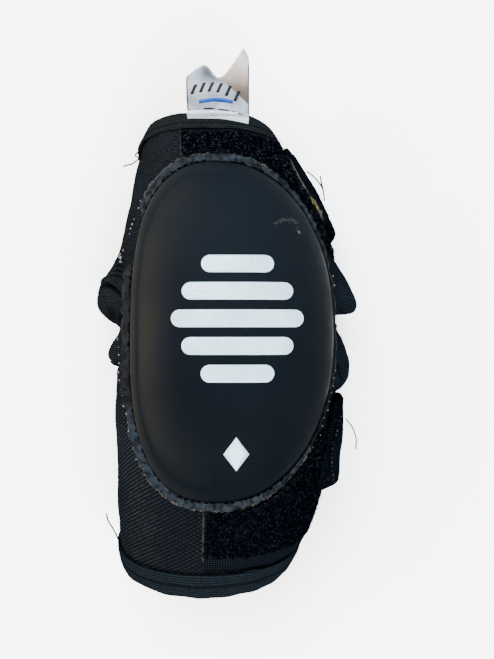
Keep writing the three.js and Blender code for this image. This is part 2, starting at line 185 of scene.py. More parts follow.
# The long stitches on the label's foot, each from its left end, and how far its right end rises
DASH_LENGTH = 5.8
LABEL_DASHES = [
    {"from": (-18.6, 106.6), "rise": 0.9},
    {"from": (-11.1, 107.6), "rise": 0.1},
    {"from": (-3.6, 107.3), "rise": -0.5},
    {"from": (3.5, 106.3), "rise": -1.3},
]

# The printed bars and the small mark on the cap
BAR_MIDDLE_X = 6.8
BAR_HALF_THICKNESS = 4.1
BARS = [
    {"y": 26.5, "half_length": 17},
    {"y": 13.7, "half_length": 26},
    {"y": 0.9, "half_length": 31},
    {"y": -11.9, "half_length": 26},
    {"y": -24.7, "half_length": 17},
]
MARK_MIDDLE = (6.2, -62.5)
MARK_HALF_WIDTH = 6
MARK_HALF_HEIGHT = 8.2
PRINT_LIFT = 0.12

random.seed(7)
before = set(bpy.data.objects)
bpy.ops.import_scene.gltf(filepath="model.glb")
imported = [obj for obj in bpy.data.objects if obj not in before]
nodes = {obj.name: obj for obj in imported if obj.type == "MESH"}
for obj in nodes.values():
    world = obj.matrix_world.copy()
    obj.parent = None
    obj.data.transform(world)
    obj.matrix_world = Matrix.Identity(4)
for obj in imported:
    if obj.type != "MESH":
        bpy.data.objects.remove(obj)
scene = bpy.context.scene
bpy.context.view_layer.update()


def tree_of(mesh):
    points = [v.co.copy() for v in mesh.vertices]
    return BVHTree.FromPolygons(points, [tuple(p.vertices) for p in mesh.polygons])


def mm(x, y, z=0.0):
    return Vector((x, y, z)) * MM


def clamped(value, least=0.0, most=1.0):
    return min(max(value, least), most)


def bell(offset):
    """1 where the offset is 0, and close to 0 from 2 on."""
    return math.exp(-(offset**2))


# Materials


class Shader:
    """A material and its node tree, with short calls that add nodes and links. shine is how much
    the surface mirrors: 0.5 for glossy plastic, and less for cloth."""

    def __init__(self, name, shine, roughness=0.5):
        self.material = bpy.data.materials.new(name)
        self.material.use_nodes = True
        self.nodes = self.material.node_tree.nodes
        self.links = self.material.node_tree.links
        self.surface = self.nodes["Principled BSDF"]
        self.surface.inputs["Roughness"].default_value = roughness
        self.surface.inputs["Specular IOR Level"].default_value = shine
        self.place = self.nodes.new("ShaderNodeUVMap").outputs["UV"]
        split = self.nodes.new("ShaderNodeSeparateXYZ")
        self.links.new(self.place, split.inputs[0])
        self.around = split.outputs["X"]
        self.along = split.outputs["Y"]

    def set(self, socket, value):
        """Gives a socket a number or a colour, or links another socket to it."""
        if isinstance(value, (int, float)):
            socket.default_value = value
        elif isinstance(value, tuple):
            socket.default_value = (*value, 1)
        else:
            self.links.new(value, socket)

    def paint(self, colour):
        self.set(self.surface.inputs["Base Color"], colour)

    def roughen(self, roughness):
        self.set(self.surface.inputs["Roughness"], roughness)

    def math(self, operation, a, b=0.0):
        node = self.nodes.new("ShaderNodeMath")
        node.operation = operation
        self.set(node.inputs[0], a)
        self.set(node.inputs[1], b)
        return node.outputs[0]

    def times(self, a, b):
        return self.math("MULTIPLY", a, b)

    def ramp(self, value, low, high, at_low=0.0, at_high=1.0):
        """Runs smoothly from at_low to at_high as the value runs from low to high."""
        node = self.nodes.new("ShaderNodeMapRange")
        node.interpolation_type = "SMOOTHSTEP"
        self.links.new(value, node.inputs["Value"])
        node.inputs["From Min"].default_value = low
        node.inputs["From Max"].default_value = high
        node.inputs["To Min"].default_value = at_low
        node.inputs["To Max"].default_value = at_high
        return node.outputs["Result"]

    def blend(self, factor, a, b):
        """a where the factor is 0 and b where it is 1."""
        node = self.nodes.new("ShaderNodeMix")
        self.set(node.inputs["Factor"], factor)
        self.set(node.inputs["A"], a)
        self.set(node.inputs["B"], b)
        return node.outputs["Result"]

    def wave(self, angle, pitch, wander=0.0):
        """Lines turned by angle from around the arm: 0 between them and 1 on them."""
        node = self.nodes.new("ShaderNodeVectorMath")
        node.operation = "DOT_PRODUCT"
        turn = math.radians(angle)
        step = 2 * math.pi / pitch
        node.inputs[1].default_value = (-math.sin(turn) * step, math.cos(turn) * step, 0)
        self.links.new(self.place, node.inputs[0])
        phase = node.outputs["Value"]
        if wander:
            shift = self.times(self.noise(45), wander * 2 * math.pi)
            phase = self.math("ADD", phase, shift)
        return self.math("ADD", self.times(self.math("SINE", phase), 0.5), 0.5)

    def noise(self, scale, detail=2.0):
        texture = self.nodes.new("ShaderNodeTexNoise")
        texture.inputs["Scale"].default_value = scale
        texture.inputs["Detail"].default_value = detail
        self.links.new(self.nodes.new("ShaderNodeTexCoord").outputs["Object"], texture.inputs["Vector"])
        return texture.outputs["Fac"]

    def over_floor(self):
        """The place over the floor, x and y in millimetres."""
        split = self.nodes.new("ShaderNodeSeparateXYZ")
        self.links.new(self.nodes.new("ShaderNodeTexCoord").outputs["Object"], split.inputs[0])
        return [self.math("DIVIDE", split.outputs[axis], MM) for axis in ("X", "Y")]

    def grain(self, least):
        """Fine speckles, from least to a little over 1."""
        return self.ramp(self.noise(900, 3), 0.3, 0.7, least, 1.2)

    def mesh_value(self, name):
        node = self.nodes.new("ShaderNodeAttribute")
        node.attribute_name = name
        return node.outputs["Fac"]

    def island(self):
        return self.nodes.new("ShaderNodeNewGeometry").outputs["Random Per Island"]

    def bump(self, height, distance):
        """Adds relief: distance is how high it stands, in millimetres, where height is 1."""
        node = self.nodes.new("ShaderNodeBump")
        node.inputs["Strength"].default_value = 1.0
        node.inputs["Distance"].default_value = distance * MM
        self.links.new(height, node.inputs["Height"])
        previous = self.surface.inputs["Normal"].links
        if previous:
            self.links.new(previous[0].from_socket, node.inputs["Normal"])
        self.links.new(node.outputs["Normal"], self.surface.inputs["Normal"])

    def mix(self, factor, a, b):
        """The colour a where the factor is 0 and b where it is 1."""
        node = self.nodes.new("ShaderNodeMix")
        node.data_type = "RGBA"
        self.set(node.inputs["Factor"], factor)
        self.set(node.inputs["A"], a)
        self.set(node.inputs["B"], b)
        return node.outputs["Result"]


def cover_weave():
    """Slanted ribs with a second set across them below the cap, fine level ribs above, and rings
    round the pockets of the folds."""
    shader = Shader("cover_weave", 0.0, 0.75)
    ribs = shader.wave(RIB_ANGLE, RIB_PITCH, RIB_WANDER)
    across = shader.wave(CROSS_ANGLE, CROSS_PITCH, RIB_WANDER)
    beads = shader.ramp(shader.around, *CROSSED_AROUND, 0.0, 0.8)
    twill = shader.times(ribs, shader.blend(beads, 1.0, across))
    ticks = shader.blend(0.3, 1.0, shader.wave(90, 1.0))
    level = shader.times(shader.wave(0, LEVEL_PITCH, RIB_WANDER), ticks)
    height = shader.blend(shader.ramp(shader.along, *LEVEL_ALONG), twill, level)
    turns = shader.times(shader.mesh_value("ring"), 2 * math.pi / RING_PITCH)
    rings = shader.math("ADD", shader.times(shader.math("SINE", turns), 0.3), 0.45)
    height = shader.blend(shader.mesh_value("pocket"), height, rings)
    shader.bump(height, 0.22)
    shader.bump(shader.noise(1400), 0.1)
    worn = shader.times(shader.ramp(shader.noise(28, 4), 0.35, 0.7, 0.6, 1.1), shader.grain(0.3))
    worn = shader.times(worn, shader.ramp(shader.along, 60, 130, 0.78, 1.0))
    # Painted shade: the cloth darkens in the creases' grooves and the pockets of the folds
    unshaded = shader.math("SUBTRACT", 1.0, shader.mesh_value("shade"))
    light = shader.times(shader.times(height, worn), unshaded)
    rightwards = shader.ramp(shader.over_floor()[0], -10, 45)
    ridges = shader.mix(rightwards, (0.0088, 0.0103, 0.0115), (0.0058, 0.0084, 0.0118))
    shader.paint(shader.mix(light, (0.0009, 0.0013, 0.0018), ridges))
    return shader.material


def binding_weave(name, groove_at, dark, light):
    """Knit tape with lines along its edge, ticks across them, and a sewn groove along the sleeve."""
    shader = Shader(name, 0.0, 0.75)
    ticks = shader.blend(0.5, 1.0, shader.wave(90, 1.05))
    knit = shader.times(shader.wave(0, 1.25, 0.1), ticks)
    from_groove = shader.math("ABSOLUTE", shader.math("SUBTRACT", shader.along, groove_at))
    groove = shader.ramp(from_groove, 0.2, 1.0, 0.25, 1.0)
    shader.bump(shader.times(knit, groove), 0.2)
    shader.bump(groove, 0.5)
    factor = shader.times(shader.times(knit, groove), shader.grain(0.5))
    shader.paint(shader.mix(factor, dark, light))
    return shader.material


def webbing_weave():
    """Elastic webbing with ribs that run along the strap."""
    shader = Shader("webbing_weave", 0.0, 0.8)
    ticks = shader.blend(0.35, 1.0, shader.wave(90, 0.9))
    height = shader.times(shader.wave(0, 1.3, 0.1), ticks)
    shader.bump(height, 0.3)
    worn = shader.ramp(shader.noise(40, 4), 0.3, 0.75, 0.4, 1.2)
    light = shader.times(height, worn)
    shader.paint(shader.mix(light, (0.0002, 0.0003, 0.0005), (0.0017, 0.0028, 0.0043)))
    return shader.material


def tape_weave():
    """The fine flat weave that the loops stand on."""
    shader = Shader("tape_weave", 0.0, 0.8)
    height = shader.times(shader.wave(0, 1.1), shader.wave(90, 1.0))
    shader.bump(height, 0.15)
    shader.paint(shader.mix(height, (0.0003, 0.0005, 0.0009), (0.0055, 0.0075, 0.01)))
    return shader.material


def pile_loops(name, light):
    """Nearly black yarn, with a fifth of the loops lighter."""
    shader = Shader(name, 0.0, 0.7)
    shader.paint(shader.mix(shader.ramp(shader.island(), 0.8, 1.0), (0.0003, 0.0005, 0.0012), light))
    return shader.material


def plain(name, colour, roughness, shine=0.1, grain=0.0, grain_scale=600, mottled=None, spots=70):
    """One colour, or two in soft spots, with a grain as high as grain says in millimetres."""
    shader = Shader(name, shine, roughness)
    if grain:
        shader.bump(shader.noise(grain_scale), grain)
    if mottled:
        colour = shader.mix(shader.ramp(shader.noise(spots, 4), 0.35, 0.65), colour, mottled)
    shader.paint(colour)
    return shader.material


def cap_leather():
    """Coated leather with a fine grain and faint dents, with a painted blue reflection that grows
    towards the top, and a painted warm brown reflection, rougher, where the mesh says so."""
    shader = Shader("cap_leather", 0.0025)
    shader.bump(shader.noise(2200, 3), 0.018)
    shader.bump(shader.noise(60, 3), 0.25)
    painted_rim_reflection = shader.mesh_value("painted_rim_reflection")
    rough = shader.ramp(shader.noise(120, 4), 0.3, 0.7, 0.36, 0.46)
    shader.roughen(shader.math("ADD", rough, shader.times(painted_rim_reflection, 0.25)))
    # Painted reflection of the window: the leather turns bluer and lighter towards the top
    painted_top_reflection = shader.ramp(shader.over_floor()[1], -55, 75)
    dents = shader.mix(shader.noise(35, 4), (0.0011, 0.0017, 0.0025), (0.0016, 0.0024, 0.0034))
    blue = shader.mix(painted_top_reflection, dents, (0.0024, 0.0034, 0.0046))
    # Painted warm brown reflection on the rolled rim, where the mesh's rim reflection is high
    uneven = shader.times(painted_rim_reflection, shader.ramp(shader.noise(45, 3), 0.3, 0.7, 0.75, 1.0))
    shader.paint(shader.mix(uneven, blue, (0.0084, 0.0078, 0.0064)))
    return shader.material


def welt_leather():
    """Puckered coated strip, blue-grey in spots, and darkened to the cloth's tone by painted shade, and
    rougher, where the mesh says so.
    """
    shader = Shader("welt_leather", 0.015)
    shader.bump(shader.noise(500, 3), 0.25)
    spots = shader.ramp(shader.noise(260, 3), 0.38, 0.62, 0.15, 1.0)
    side_shade = shader.mesh_value("shade")
    shader.roughen(shader.ramp(side_shade, 0.0, 1.0, 0.3, 0.75))
    shiny = shader.mix(spots, (0.001, 0.0016, 0.0023), (0.0066, 0.0092, 0.012))
    # The dark colour is painted shade at the welt's sides, blended in by the mesh's shade
    worn = shader.mix(spots, (0.0006, 0.001, 0.0017), (0.0038, 0.0043, 0.0048))
    shader.paint(shader.mix(side_shade, shiny, worn))
    return shader.material


def label_tape():
    """Satin tape with a fine weave. The back layer, seen over the slanted lip of the front one, is
    brown near the lip and pale towards its peak, and the front is in shade just under the lip."""
    shader = Shader("label_tape", 0.1, 0.45)
    shader.bump(shader.times(shader.wave(0, 0.6), shader.wave(90, 0.6)), 0.04)
    shader.bump(shader.noise(160, 3), 0.7)
    x, y = shader.over_floor()
    over_lip = shader.math("ADD", y, shader.times(x, LIP_SLOPE))
    back = shader.times(shader.ramp(over_lip, *LIP_AT), shader.ramp(x, -7.0, -6.0))
    uneven = shader.ramp(shader.noise(140, 3), 0.3, 0.6, 0.6, 1.0)
    pale = shader.times(shader.ramp(y, 113, 132), uneven)
    shade = shader.times(shader.ramp(y, 115, 124, 0.0, 0.95), shader.ramp(x, -16, -9))
    stains = shader.ramp(shader.noise(90, 4), 0.35, 0.7)
    satin = shader.mix(stains, (0.15, 0.175, 0.2), (0.085, 0.1, 0.118))
    front = shader.mix(shade, satin, (0.02, 0.024, 0.03))
    behind = shader.mix(pale, (0.035, 0.024, 0.017), (0.25, 0.215, 0.195))
    shader.paint(shader.mix(back, front, behind))
    return shader.material


COVER = cover_weave()
LOWER_BINDING = binding_weave("lower_binding", 5.0, (0.0009, 0.0014, 0.0019), (0.0062, 0.0085, 0.0108))
UPPER_BINDING = binding_weave("upper_binding", 221.3, (0.0018, 0.0023, 0.0026), (0.0068, 0.008, 0.0088))
WEBBING = webbing_weave()
PILE_BASE = tape_weave()
UPPER_PILE = pile_loops("upper_pile_loops", (0.0145, 0.0165, 0.0235))
LOWER_PILE = pile_loops("lower_pile_loops", (0.0075, 0.0088, 0.0125))
LEATHER = cap_leather()
WELT = welt_leather()
PRINT = plain("white_print", (0.185, 0.275, 0.33), 0.22, 0.4, 0.2, 600, (0.235, 0.325, 0.375), 60)
SEAM = plain("dark_thread", (0.0004, 0.0006, 0.0013), 0.6, 0.0)
PALE = plain("pale_thread", (0.07, 0.075, 0.075), 0.7)
LINT = plain("lint", (0.014, 0.014, 0.013), 0.8, 0.0, 0.0, 600, (0.065, 0.06, 0.055), 180)
SEAM_EDGE = plain("seam_edge", (0.003, 0.0033, 0.0036), 0.8, 0.0, 0.2, 900, (0.014, 0.0135, 0.0125), 300)
LABEL = label_tape()
LABEL_FOOT = plain("label_foot", (0.21, 0.25, 0.285), 0.45, 0.1, 0.1, 1200, (0.26, 0.3, 0.335), 120)
LABEL_EDGE = plain("label_edge", (0.006, 0.009, 0.022), 0.6)
LABEL_BLACK = plain("label_black", (0.0012, 0.0014, 0.002), 0.5)
LABEL_BLUE = plain("label_blue", (0.0006, 0.024, 0.13), 0.45)
LABEL_STITCH = plain("label_stitch", (0.0015, 0.0018, 0.0025), 0.6, 0.0)
FRAY = plain("frayed_backing", (0.016, 0.0145, 0.012), 0.9, 0.05, 0.2, 700, (0.035, 0.031, 0.025))
YELLOW = plain("yellow_mark", (0.08, 0.075, 0.004), 0.6)
SCUFF = plain("scuff", (0.008, 0.0095, 0.0105), 0.6)


# Meshes


def arm_place(point):
    """How far along the bent sleeve and how far round it a point lies, in millimetres."""
    x, y, z = (c / MM for c in point)
    up = z - BEND_Z
    tilt = math.degrees(math.atan2(-(y - BEND_Y), up))
    along = math.radians(LOWER_TILT - tilt) * BEND_RADIUS
    out = math.hypot(y - BEND_Y, up) - BEND_RADIUS
    around = math.atan2(out * 1.5, x - BEND_X) * ROUND_RADIUS
    return along, around


def add_places(mesh):
    """Writes each corner's place on the sleeve, in millimetres, into the mesh's UV map."""
    layer = mesh.uv_layers[0] if mesh.uv_layers else mesh.uv_layers.new(name="place")
    places = [arm_place(v.co) for v in mesh.vertices]
    turn = 2 * math.pi * ROUND_RADIUS
    for polygon in mesh.polygons:
        first = places[mesh.loops[polygon.loop_start].vertex_index][1]
        for i in polygon.loop_indices:
            along, around = places[mesh.loops[i].vertex_index]
            around -= turn * round((around - first) / turn)
            layer.data[i].uv = (around, along)


def show(mesh, name, material, replaces=()):
    """Adds the mesh to the scene as a piece that rides with the pad."""
    obj = bpy.data.objects.new(name, mesh)
    scene.collection.objects.link(obj)
    mesh.materials.clear()
    mesh.materials.append(material)
    for polygon in mesh.polygons:
        polygon.use_smooth = True
    add_places(mesh)
    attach(obj, "root")
    if replaces:
        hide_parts(*replaces)
    return obj


def refined(node, levels, crease=0.0):
    """A finer, smoother mesh of a CAD node."""
    bm = bmesh.new()
    bm.from_mesh(nodes[node].data)
    bmesh.ops.remove_doubles(bm, verts=bm.verts, dist=1e-6)
    limits = {"angle_face_threshold": math.radians(35), "angle_shape_threshold": math.radians(50)}
    bmesh.ops.join_triangles(bm, faces=bm.faces, **limits)
    if crease:
        layer = bm.edges.layers.float.new("crease_edge")
        for edge in bm.edges:
            if edge.is_manifold and edge.calc_face_angle(0) > math.radians(50):
                edge[layer] = crease
    mesh = bpy.data.meshes.new(node + "_fine")
    bm.to_mesh(mesh)
    bm.free()
    holder = bpy.data.objects.new("holder", mesh)
    scene.collection.objects.link(holder)
    modifier = holder.modifiers.new("fine", "SUBSURF")
    modifier.levels = levels
    evaluated = holder.evaluated_get(bpy.context.evaluated_depsgraph_get())
    fine = bpy.data.meshes.new_from_object(evaluated)
    bpy.data.objects.remove(holder)
    bpy.data.meshes.remove(mesh)
    return fine


def ripple(mesh, amount, scale, seed):
    """Moves each vertex along its normal by smooth noise, in millimetres."""
    normals = [v.normal.copy() for v in mesh.vertices]
    for v, normal in zip(mesh.vertices, normals):
        shift = noise.noise(v.co / (scale * MM) + Vector((seed, 0, 0)))
        v.co += normal * (amount * MM * shift)


def top_of(trees, x, y):
    """The highest point of the trees over a place on the floor, and the normal there."""
    best = None
    for tree in trees:
        hit, normal, _, _ = tree.ray_cast(mm(x, y, 200), Vector((0, 0, -1)))
        if hit and (best is None or hit.z > best[0].z):
            best = (hit, normal)
    return best


def walked(line, pitch):
    """Places a pitch apart along a line over the floor, with the direction at each."""
    points = [Vector((p[0], p[1], 0)) for p in line]
    steps = []
    left = 0.0
    for a, b in zip(points, points[1:]):
        length = (b - a).length
        ahead = (b - a) / length
        while left < length:
            steps.append((a + ahead * left, ahead))
            left += pitch
        left -= length
    return steps


def carve(mesh, line, depth, width, roll):
    """Presses a groove into the mesh under a line over the floor, raises the cloth above it, and
    notes in the mesh's shade how deep in the groove each vertex lies, for painted shade there."""
    tree = tree_of(mesh)
    near = kdtree.KDTree(len(mesh.vertices))
    for i, v in enumerate(mesh.vertices):
        near.insert(v.co, i)
    near.balance()
    steps = walked(line, 0.5)
    moves = {}
    for k, (place, ahead) in enumerate(steps):
        found = top_of([tree], place.x, place.y)
        if not found:
            continue
        spot, normal = found
        side = normal.cross(ahead).normalized()
        fade = math.sin(math.pi * (k + 0.5) / len(steps)) ** 0.5
        for point, i, distance in near.find_range(spot, 4 * width * MM):
            if i not in moves or distance < moves[i][0]:
                away = (point - spot).dot(side) / (width * MM)
                groove = fade * bell(away + 0.3)
                rise = fade * bell((away - 1.6) / 1.2)
                moves[i] = (distance, roll * rise - depth * groove, groove)
    shade = mesh.attributes["shade"].data
    normals = {i: mesh.vertices[i].normal.copy() for i in moves}
    for i, (_, shift, groove) in moves.items():
        mesh.vertices[i].co += normals[i] * (shift * MM)
        shade[i].value = max(shade[i].value, groove)
    mesh.update()


def finer_where(mesh, wanted):
    """Splits the faces whose middle, in millimetres, is wanted."""
    bm = bmesh.new()
    bm.from_mesh(mesh)
    faces = [f for f in bm.faces if wanted(f.calc_center_median() / MM)]
    edges = list({edge for face in faces for edge in face.edges})
    bmesh.ops.subdivide_edges(bm, edges=edges, cuts=1, use_grid_fill=True, smooth=1.0)
    bm.to_mesh(mesh)
    bm.free()


def tube(points, radius, sides=6):
    """Vertices and faces of a round tube through the points. radius is one number or one a point."""
    points = [Vector(p) for p in points]
    radii = radius if isinstance(radius, list) else [radius] * len(points)
    verts, faces = [], []
    side = None
    for i, point in enumerate(points):
        ahead = points[min(i + 1, len(points) - 1)] - points[max(i - 1, 0)]
        ahead.normalize()
        if side is None:
            side = ahead.orthogonal().normalized()
        side = (side - ahead * side.dot(ahead)).normalized()
        other = ahead.cross(side)
        for k in range(sides):
            a = 2 * math.pi * k / sides
            verts.append(point + radii[i] * (math.cos(a) * side + math.sin(a) * other))
    for i in range(len(points) - 1):
        for k in range(sides):
            a, b = i * sides + k, i * sides + (k + 1) % sides
            faces.append((a, b, b + sides, a + sides))
    faces.append(tuple(reversed(range(sides))))
    faces.append(tuple(range(len(verts) - sides, len(verts))))
    return verts, faces


def smooth_line(points, count):
    """Evenly shared points on a smooth curve through the given ones."""
    points = [Vector(p) for p in points]
    out = []
    for i in range(count):
        t = i / (count - 1) * (len(points) - 1)
        k = min(int(t), len(points) - 2)
        t -= k
        a, b = points[k], points[k + 1]
        before = points[max(k - 1, 0)]
        after = points[min(k + 2, len(points) - 1)]
        line = 2 * a + (b - before) * t
        bend = (2 * before - 5 * a + 4 * b - after) * t * t
        turn = (3 * a - before - 3 * b + after) * t * t * t
        out.append(0.5 * (line + bend + turn))
    return out


def gathered(parts, name):
    """One mesh from several lists of vertices and faces."""
    verts, faces = [], []
    for more, polygons in parts:
        start = len(verts)
        verts.extend(more)
        faces.extend(tuple(start + i for i in polygon) for polygon in polygons)
    mesh = bpy.data.meshes.new(name)
    mesh.from_pydata(verts, [], faces)
    mesh.update()
    return mesh


def add_piece(parts, name, material):
    return show(gathered(parts, name), name, material)


def stitch(spot, normal, ahead, length, radius):
    """A short thread that dips into the cloth at both ends. Its sizes are in metres."""
    ahead = (ahead - normal * ahead.dot(normal)).normalized()
    places = []
    radii = []
    for share in (-0.5, -0.3, 0, 0.3, 0.5):
        places.append(spot + ahead * (share * length) + normal * radius * (1.1 - 6.5 * share * share))
        radii.append(radius * (1 - 1.6 * share * share))
    return tube(places, radii, 6)


def bead(spot, normal, size):
    """A small flat blob on the surface. Its size is in metres."""
    side = normal.orthogonal().normalized() * random.uniform(0.7, 1.3)
    other = normal.cross(side)
    verts = [spot + normal * size * 0.45]
    for ring, lift in ((0.7, 0.3), (1.0, -0.1)):
        for k in range(8):
            a = 2 * math.pi * k / 8
            way = side * math.cos(a) + other * math.sin(a)
            verts.append(spot + way * size * ring + normal * size * lift)
    faces = [(0, 1 + k, 1 + (k + 1) % 8) for k in range(8)]
    faces += [(1 + k, 9 + k, 9 + (k + 1) % 8, 1 + (k + 1) % 8) for k in range(8)]
    faces.append(tuple(16 - k for k in range(8)))
    return verts, faces


def laid(trees, rows, lift, sink=0.3, eased=0):
    """A thin closed sheet laid on the trees. rows holds its places over the floor, and lift gives
    its height at a share of the way over the rows and a share of the way along one. Its underside
    is sunk below them. A place off the trees' edge keeps the spot of the one before it. The spots
    are eased towards their neighbours' height as often as eased says, so that it spans steps."""
    count = len(rows[0])
    spot, normal = next(found for row in rows for place in row if (found := top_of(trees, *place)))
    spots, normals = [], []
    for x, y in (place for row in rows for place in row):
        found = top_of(trees, x, y)
        if found:
            spot, normal = found
        spots.append(spot.copy())
        normals.append(normal.copy())
    size = len(spots)
    for _ in range(eased):
        for values in (spots, normals):
            before = [value.copy() for value in values]
            for k in range(size):
                around = [k, max(k - count, 0), min(k + count, size - 1)]
                around += [k - (k % count > 0), k + (k % count < count - 1)]
                middle = sum((before[n] for n in around), Vector()) / len(around)
                if values is spots:
                    middle = Vector((before[k].x, before[k].y, middle.z))
                values[k] = middle
    top, bottom = [], []
    for k in range(size):
        height = lift(k // count / (len(rows) - 1), k % count / (count - 1))
        top.append(spots[k] + normals[k] * height * MM)
        bottom.append(spots[k] - normals[k] * sink * MM)
    faces = []
    for i in range(len(rows) - 1):
        for j in range(count - 1):
            a = i * count + j
            b = a + count
            faces.append((a, a + 1, b + 1, b))
            faces.append((size + a, size + b, size + b + 1, size + a + 1))
    rim = list(range(count))
    rim += [i * count + count - 1 for i in range(1, len(rows))]
    rim += [size - 1 - j for j in range(1, count)]
    rim += [i * count for i in range(len(rows) - 2, 0, -1)]
    for a, b in zip(rim, rim[1:] + rim[:1]):
        faces.append((b, a, size + a, size + b))
    return top + bottom, faces


def even(height):
    """The lift of a sheet that stands as high everywhere."""
    return lambda over, along: height


def fibres(trees, steps, count, length, radius, spread):
    """Fine loose fibres that lie near the places walked, turned every way."""
    parts = []
    for _ in range(count):
        place, _ = random.choice(steps)
        found = top_of(trees, place.x + random.gauss(0, spread), place.y + random.gauss(0, spread))
        if not found:
            continue
        spot, normal = found
        turn = random.uniform(0, 2 * math.pi)
        side = normal.orthogonal().normalized()
        way = side * math.cos(turn) + normal.cross(side) * math.sin(turn)
        reach = length * random.uniform(0.5, 1.2) * MM
        rise = random.uniform(0.1, 0.5) * MM
        bend = normal.cross(way) * random.uniform(-0.4, 0.4)
        points = [
            spot - way * reach * 0.5 + normal * 0.1 * MM,
            spot + normal * rise + bend * reach * 0.4,
            spot + way * reach * 0.5 + normal * rise * 0.8,
        ]
        parts.append(tube(points, [radius * MM, radius * MM, radius * 0.5 * MM], 4))
    return parts


# The sleeve, hems and straps


def in_folds(place):
    """Whether a place in millimetres is in the folds at the sides."""
    between = FOLDS_FROM_Y < place.y < FOLDS_TO_Y
    return abs(place.x) > FOLDS_BEYOND_X and between and place.z > FOLDS_ABOVE_Z


def mark_pockets(mesh):
    """Writes into the mesh how far each vertex lies from its pocket's middle and how much it
    belongs to the rings there, and adds the pocket's shade."""
    mesh.attributes.new("ring", "FLOAT", "POINT")
    mesh.attributes.new("pocket", "FLOAT", "POINT")
    ring, pocket, shade = (mesh.attributes[name].data for name in ("ring", "pocket", "shade"))
    for i, v in enumerate(mesh.vertices):
        for row in POCKETS:
            x, y = row["middle"]
            if v.co.x * x <= 0 or v.co.z <= POCKETS_ABOVE_Z * MM:
                continue
            away = math.hypot(v.co.x / MM - x, (v.co.y / MM - y) * 0.9)
            weight = clamped((row["radius"] - away) / RING_EDGE)
            weight *= clamped((row["top"] - v.co.y / MM) / RING_EDGE)
            if weight > pocket[i].value:
                ring[i].value = away
                pocket[i].value = weight
                dark = row["dark"] * bell(away / POCKET_SHADE_RADIUS)
                shade[i].value = max(shade[i].value, dark)


sleeve_mesh = refined("sleeve", 2)
finer_where(sleeve_mesh, in_folds)
sleeve_mesh.attributes.new("shade", "FLOAT", "POINT")
for crease in CREASES:
    carve(sleeve_mesh, **crease)
mark_pockets(sleeve_mesh)
ripple(sleeve_mesh, 0.8, 15, 1.0)
ripple(sleeve_mesh, 0.3, 5, 5.0)
sleeve = show(sleeve_mesh, "cover", COVER, ["sleeve"])

tops = {"sleeve": tree_of(sleeve_mesh)}
for node, material in (("lower_hem", LOWER_BINDING), ("upper_hem", UPPER_BINDING)):
    hem_mesh = refined(node, 2, 0.4)
    ripple(hem_mesh, 0.6, 9, 2.0)
    hem = show(hem_mesh, node + "_tape", material, [node])
    tops[node] = tree_of(hem_mesh)
for node in ("upper_loop_patch", "lower_loop_patch"):
    patch_mesh = refined(node, 1, 0.8)
    patch = show(patch_mesh, node + "_base", PILE_BASE, [node])
    width, length, area = PATCH_CUTS[node]
    tops[node] = tree_of(patch_mesh)
for node in ("upper_strap", "forearm_strap"):
    strap_mesh = refined(node, 2, 0.8)
    ripple(strap_mesh, 0.8, 12, 3.0)
    strap = show(strap_mesh, node + "_band", WEBBING, [node])
    tops[node] = tree_of(strap_mesh)

# The cap, and its seam's line

cap_mesh = refined("elbow_cap", 2)
cap_low, cap_high = (Vector(corner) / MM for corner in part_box("elbow_cap"))
cap_half = (cap_high - cap_low) / 2
cap_centre = (cap_high + cap_low) / 2


def oval_share(point):
    """How far out on the cap's oval a point lies: 0 at its middle and 1 on its seam."""
    forward = (point.y / MM - cap_centre.y) / cap_half.y
    across = (point.x / MM - cap_centre.x + CAP_BOW * forward * forward) / cap_half.x
    return (abs(across) ** CAP_POWER + abs(forward) ** CAP_POWER) ** (1 / CAP_POWER)


# The cap's edge is rolled over a piping, which leaves a shallow valley inside it
normals = [v.normal.copy() for v in cap_mesh.vertices]
painted_rim_reflection = cap_mesh.attributes.new("painted_rim_reflection", "FLOAT", "POINT").data
for i, (v, normal) in enumerate(zip(cap_mesh.vertices, normals)):
    share = oval_share(v.co)
    rim = 1.0 if v.co.x < 0 else RIM_ON_RIGHT
    inside, outside = max(VALLEY_SHARE - share, 0.0), max(share - VALLEY_SHARE, 0.0)
    valley = bell(inside / VALLEY_INWARDS + outside / VALLEY_OUTWARDS)
    ridge = bell((share - RIDGE_SHARE) / RIDGE_WIDTH)
    wander = 1 + 0.5 * noise.noise(v.co / (14 * MM))
    v.co += normal * (rim * wander * (RIDGE_HEIGHT * ridge - VALLEY_DEPTH * valley) * MM)
    # The painted warm brown reflection is strongest at the middle of the left side and fades out in the
    # valley
    outwards = clamped((share - 0.52) / 0.3) * (1 - 0.8 * valley)
    middle = 0.55 + 0.45 * bell((v.co.y / MM - 2) / 48)
    sideways = middle * clamped((-v.co.x / MM - 4) / 42)
    sideways += RIM_ON_RIGHT * clamped((v.co.x / MM - 24) / 20)
    painted_rim_reflection[i].value = outwards * sideways
cap = show(cap_mesh, "cap", LEATHER, ["elbow_cap"])
tops["elbow_cap"] = tree_of(cap_mesh)


def seam_line(share):
    """The closed line round the cap: share is 0 at its seam and 1 on the welt's outer edge."""
    line = []
    for k in range(361):
        angle = 2 * math.pi * k / 360
        across = math.copysign(abs(math.cos(angle)) ** (2 / CAP_POWER), math.cos(angle))
        forward = math.copysign(abs(math.sin(angle)) ** (2 / CAP_POWER), math.sin(angle))
        sides = WELT_LEFT if across < 0 else WELT_RIGHT
        x = cap_low.x + cap_half.x + across * (cap_half.x + share * sides) - CAP_BOW * forward * forward
        line.append((x, cap_centre.y + forward * (cap_half.y + share * WELT_ENDS)))
    return line


# The welt: it swells between its puckers and its outer edge waves

